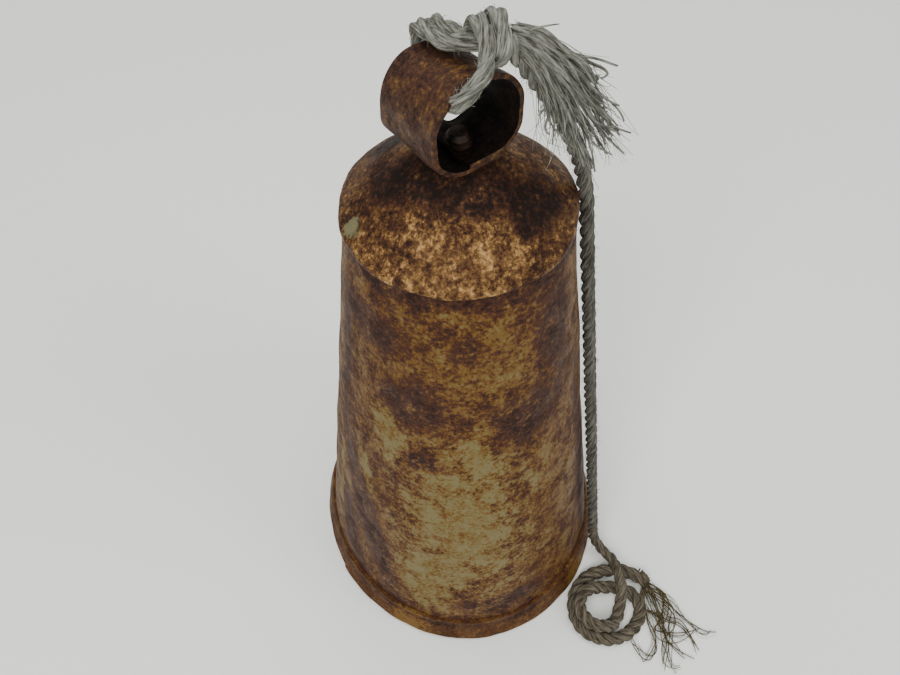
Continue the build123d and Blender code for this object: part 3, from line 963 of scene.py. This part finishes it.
def coil_points():
    """The coil's turns, clockwise: an inner turn that leans on a wider outer one."""
    points = []
    for turned in range(COIL_PACE, COIL_TURNED + 1, COIL_PACE):
        angle = math.radians(COIL_START - turned)
        inner = mix(FALL_REACH, INNER_REACH, ease(turned / 60))
        outward = ease((turned - 330) / 90)
        away = END_REACH * ease((turned - 680) / 70)
        uneven = 0.7 * bumpy((turned * MM, 0, 0), 60, 12)
        reach_x = mix(inner, OUTER_REACH[0], outward) + away + uneven
        reach_y = mix(inner, OUTER_REACH[1], outward) + away + uneven
        middle = INNER_MIDDLE.lerp(OUTER_MIDDLE, outward)
        from_fall = 1 - ease((turned - 20) / 70)
        on_outer = 0.9 * ease((turned - 90) / 50) * (1 - ease((turned - 300) / 50))
        points.append((middle.x + reach_x * math.cos(angle), middle.y + reach_y * math.sin(angle),
                       0.6 * ROPE + ROPE * (from_fall + on_outer)))
    return points


LEFT_LEG = [                            # the knot's left loop, down in front and back through the ring
    (5.2, 2.6, 372.6),
    (5.8, -0.8, 378.8),
    (4.6, -5.6, 381.6),
    (2.8, -10.6, 379.4),
    (0.9, -14.4, 375.6),
    (-2.4, -17.6, 373.4),
    (-6.8, -19.6, 371.8),
    (-12.0, -18.8, 368.2),
    (-12.0, -13.6, 361.6),
    (-7.4, -2.0, 360.2),
    (-3.4, 12.0, 359.2),
    (-0.9, 20.0, 358.6),
]
BACK_RIM = [                            # on from there, round the strap's back edge and forward to the knot
    (-0.9, 23.6, 360.6),
    (-1.0, 22.6, 368.4),
    (-2.6, 12.0, 370.6),
    (-2.2, 2.0, 372.4),
    (2.6, -7.0, 376.0),
    (6.5, -11.0, 377.0),
]
RIGHT_RUN = [                           # the second turn, back through the ring and over its top
    (-4.0, -8.0, 359.0),
    (0.0, 2.0, 358.6),
    (4.0, 12.0, 357.6),
    (5.4, 21.8, 356.6),
    (5.4, 23.4, 362.0),
    (5.2, 22.2, 367.6),
    (3.8, 12.0, 369.8),
    (4.0, 2.0, 372.6),
    (6.4, -6.0, 376.2),
]
RIGHT_WRAP = [                          # the knot's right loop
    (5.8, 1.0, 373.0),
    (10.6, 1.4, 374.8),
    (11.8, -2.6, 379.6),
    (10.6, -7.2, 382.2),
    (8.4, -12.0, 379.6),
    (6.0, -16.0, 375.4),
    (4.6, -15.2, 372.4),
    (4.8, -8.0, 372.6),
]
HITCH_ROPE = 5.9                        # mm across, pulled tight
HITCH_LAY = 34


def make_hitch(material, chance):
    shape = fibre_shape()
    for route in (LEFT_LEG + BACK_RIM, RIGHT_RUN, RIGHT_WRAP):
        line = spline_line(route)
        lay_rope(shape, line, HITCH_ROPE, HITCH_LAY)
        add_fuzz(shape, line, chance, per_mm=1.6, reach=3.2, thick=HITCH_ROPE)
    piece = finished("rope_hitch", shape, material)
    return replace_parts(piece, "rope_turn_left", "rope_turn_right", "rope_knot")


BRUSH_ROOTS = ((12.6, -11.0, 379.0), (9.4, -11.6, 374.5))          # upper and lower side of the unlaid end
BRUSH_BENDS = ((21.0, -19.0, 378.0), (17.0, -19.0, 373.0))
BRUSH_FANS = ((28.5, -27.0, 369.0), (18.4, -25.0, 360.0))
BRUSH_TIPS = [                          # from the upper side to the lower
    (34.7, -33.7, 364.1),
    (33.4, -35.5, 357.0),
    (38.2, -43.7, 347.6),
    (36.3, -46.3, 339.4),
    (29.5, -43.2, 336.2),
    (24.9, -40.9, 334.7),
    (16.5, -32.7, 340.2),
    (13.6, -28.4, 345.3),
]
BRUSH_YARNS = 54
BRUSH_FIBRES = 170
STRAY_YARN = [(15, -14, 378), (19, -16.5, 380), (24.8, -19.6, 380.1)]


def scattered(place, reach, chance):
    return Vector(place) + Vector([chance.gauss(0, reach) for _ in range(3)])


def brush_line(share, reach, chance):
    """One yarn's points: share is how far it lies from the brush's upper side to its lower one."""
    spot = share * (len(BRUSH_TIPS) - 1)
    index = min(int(spot), len(BRUSH_TIPS) - 2)
    tip = Vector(BRUSH_TIPS[index]).lerp(Vector(BRUSH_TIPS[index + 1]), spot - index)
    root, bend, fan = (Vector(a).lerp(Vector(b), share) for a, b in (BRUSH_ROOTS, BRUSH_BENDS, BRUSH_FANS))
    drop = chance.uniform(0.55, 1.05)
    points = [scattered(root, 0.8, chance), scattered(bend, 1.4 * reach, chance),
              scattered(fan, 2.0 * reach, chance), scattered(fan.lerp(tip, 0.5 * drop), 3.2 * reach, chance),
              scattered(fan.lerp(tip, drop), 1.8 * reach, chance)]
    return bowed(points, 26)


def make_brush(material, chance):
    shape = fibre_shape()
    for _ in range(BRUSH_YARNS):
        line = brush_line(min(max(chance.gauss(0.52, 0.24), 0), 1), 1.25, chance)
        wave = chance.uniform(0, TURN)
        turns = chance.uniform(0.45, 0.7)
        yarn = [place + (side * math.cos(wave + turns * i) + up * math.sin(wave + turns * i)) * 0.45 * MM
                for i, (place, side, up) in enumerate(frames(line))]
        add_tube(shape, yarn, chance.uniform(0.55, 0.95), sides=7, taper=0.6, ridges=0.12, twist=0.5)
    for _ in range(BRUSH_FIBRES):
        line = brush_line(min(max(chance.gauss(0.5, 0.32), 0), 1), 1.5, chance)
        add_tube(shape, line, chance.uniform(0.1, 0.22), sides=3, taper=0.5)
    add_tube(shape, bowed(STRAY_YARN, 8), 0.5, sides=5, taper=0.6)
    piece = finished("rope_brush", shape, material)
    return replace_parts(piece, "rope_tail")


YARNS = [
    [(62, -126, 4), (66.1, -133.1, 3), (69.5, -143, 2), (65.6, -156.9, 3), (68.6, -163, 1),
     (69.6, -175.4, 1), (76.7, -176.7, 2)],
    [(62, -128, 3), (60.3, -140, 2), (55, -149.2, 3), (65.6, -156.9, 1), (62.5, -177.8, 1)],
    [(61, -128, 3), (51.7, -130.8, 5), (50.6, -139.6, 2), (55, -149, 1), (50.2, -161.3, 2),
     (52.8, -178.3, 1)],
    [(60, -128, 3), (50.6, -139.6, 2), (43.4, -156.3, 2), (31.3, -164.1, 1), (29.1, -157.3, 2),
     (31.3, -147.5, 1)],
    [(60, -127, 3), (57, -143, 2), (50.2, -161.3, 2), (41, -166, 1), (40.1, -174.9, 1), (43.4, -178.1, 2)],
    [(63, -127, 3), (70, -137, 2), (60.3, -150, 2), (46, -152, 2), (58, -168, 1), (70, -167, 2)],
    [(60, -129, 3), (66, -147, 2), (58, -156, 2), (47.5, -160, 1), (36, -171, 1)],
]


YARN_FRONT = -180                       # the least y that a yarn may reach


def make_yarns(material, chance):
    """The rope's other end, come unlaid on the ground."""
    shape = fibre_shape()
    for route in YARNS:
        for _ in range(3):
            points = [Vector(place) + Vector((chance.gauss(0, 2.6), chance.gauss(0, 2.6), 0))
                      for place in route]
            points = [Vector((p.x, max(p.y, YARN_FRONT), max(p.z + chance.uniform(-0.6, 0.9), 0.5)))
                      for p in points]
            add_tube(shape, spline_line(points, 1.4), chance.uniform(0.3, 0.45), sides=6, taper=0.4)
        for _ in range(5):
            points = [scattered(place, 1.7, chance) for place in route[:chance.randint(3, len(route))]]
            points = [Vector((p.x, max(p.y, YARN_FRONT), max(p.z, 0.3))) for p in points]
            add_tube(shape, spline_line(points, 2.0), 0.14, sides=3, taper=0.5)
    piece = finished("rope_yarn_tangle", shape, material)
    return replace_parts(piece, "rope_yarns")


WRAPS = 16
WRAP_RADIUS = 3.5                       # at the end knot's middle
WRAP_SIDES = 24


def make_end_knot(material, chance):
    """The knot that closes the coiled end: the rope's end, wrapped in its own yarns."""
    low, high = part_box("rope_end")
    middle = (low + high) / 2 / MM
    shape = fibre_shape()
    for _ in range(WRAPS):
        lean = chance.uniform(-0.5, 0.5)
        along = chance.uniform(-5.0, 4.6)
        half = WRAP_RADIUS * math.sqrt(max(0.1, 1 - (along / 6.6) ** 2))
        loop = []
        for i in range(WRAP_SIDES + 1):
            angle = TURN * i / WRAP_SIDES
            loop.append(mm(middle.x + half * math.cos(angle) * 1.05,
                           middle.y + along + lean * 3 * math.cos(angle),
                           middle.z + 0.3 + half * 0.8 * math.sin(angle)))
        add_tube(shape, loop, chance.uniform(0.4, 0.6), sides=6)
    piece = finished("rope_end_wraps", shape, material)
    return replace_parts(piece, "rope_end")


def make_rope():
    chance = random.Random(7)
    grey = rope_material("rope_grey", GREY_THREADS)
    laid = rope_material("rope_laid", GREY_THREADS, FALL_SHADE_THREADS, COIL_THREADS)
    tan = rope_material("yarn_tan", TAN_THREADS)
    line = spline_line(FALL + coil_points())
    shape = fibre_shape()
    lay_rope(shape, line, slack_from=SLACK_FROM)
    rope = finished("rope_line", shape, laid)
    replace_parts(rope, "rope_fall", "rope_coil")
    shape = fibre_shape()
    add_fuzz(shape, line, chance, per_mm=2.4, reach=3.4)
    fuzz = finished("rope_fuzz", shape, laid)
    extras = [fuzz, make_hitch(grey, chance), make_brush(grey, chance), make_end_knot(tan, chance),
              make_yarns(tan, chance)]


# ---------------------------------------------------------------- hanger and clapper
def dress_frame():
    """The CAD pieces that are shown as they are get their materials."""
    forged = forged_material()
    for node in ("hanger_washer_top", "hanger_washer_under", "hanger_eye", "clapper_rod", "clapper_washer"):
        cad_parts[node].data.materials.clear()
        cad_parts[node].data.materials.append(forged)
    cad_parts["clapper_knob"].data.materials.clear()
    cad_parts["clapper_knob"].data.materials.append(wood_material())


# ---------------------------------------------------------------- floor
def make_floor():
    bpy.ops.mesh.primitive_plane_add(size=2 * FLOOR_HALF)
    floor = bpy.context.object
    floor.name = "floor"
    paper = Shader("paper", specular=0.25)
    colour = paper.blend(paper.noise(900, detail=2), (0.93, 0.935, 0.89, 1), (0.955, 0.96, 0.915, 1))
    floor.data.materials.append(paper.done(colour, 0.55))


make_camera()
make_light()
make_floor()
bare_iron = bare_material()
make_body(body_material(), bare_iron)
make_band(band_material())
make_cap(cap_material(), bare_iron)
make_strap(strap_material(), ring_inside_shade_material())
make_rope()
dress_frame()
